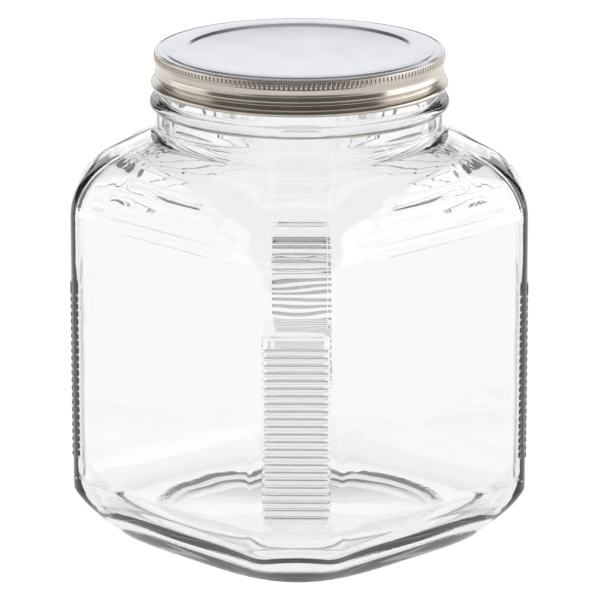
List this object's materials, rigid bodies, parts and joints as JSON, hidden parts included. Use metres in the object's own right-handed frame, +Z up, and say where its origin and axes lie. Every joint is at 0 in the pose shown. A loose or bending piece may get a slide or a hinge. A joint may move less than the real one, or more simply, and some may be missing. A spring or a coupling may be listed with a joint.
{
  "type": "glass cracker jar",
  "caption": "Empty square clear glass storage jar with ribbed corner panels, stepped bars on the shoulders and a round metal screw lid",
  "frame": {"origin": "middle of the base, on the plane that the jar stands on", "axes": "+Z up along the jar's axis through the middle of the mouth; +X and +Y out of two neighbouring flat faces"},
  "size_m": [0.1606, 0.1606, 0.2085],
  "materials": {
    "clear_glass": "clear moulded soda-lime glass, fire polished",
    "satin_tinplate": "satin tinplate, knurled band and rolled edge"
  },
  "bodies": {
    "root": {"glass_jar": "clear_glass", "metal_lid": "satin_tinplate"}
  },
  "joints": []
}
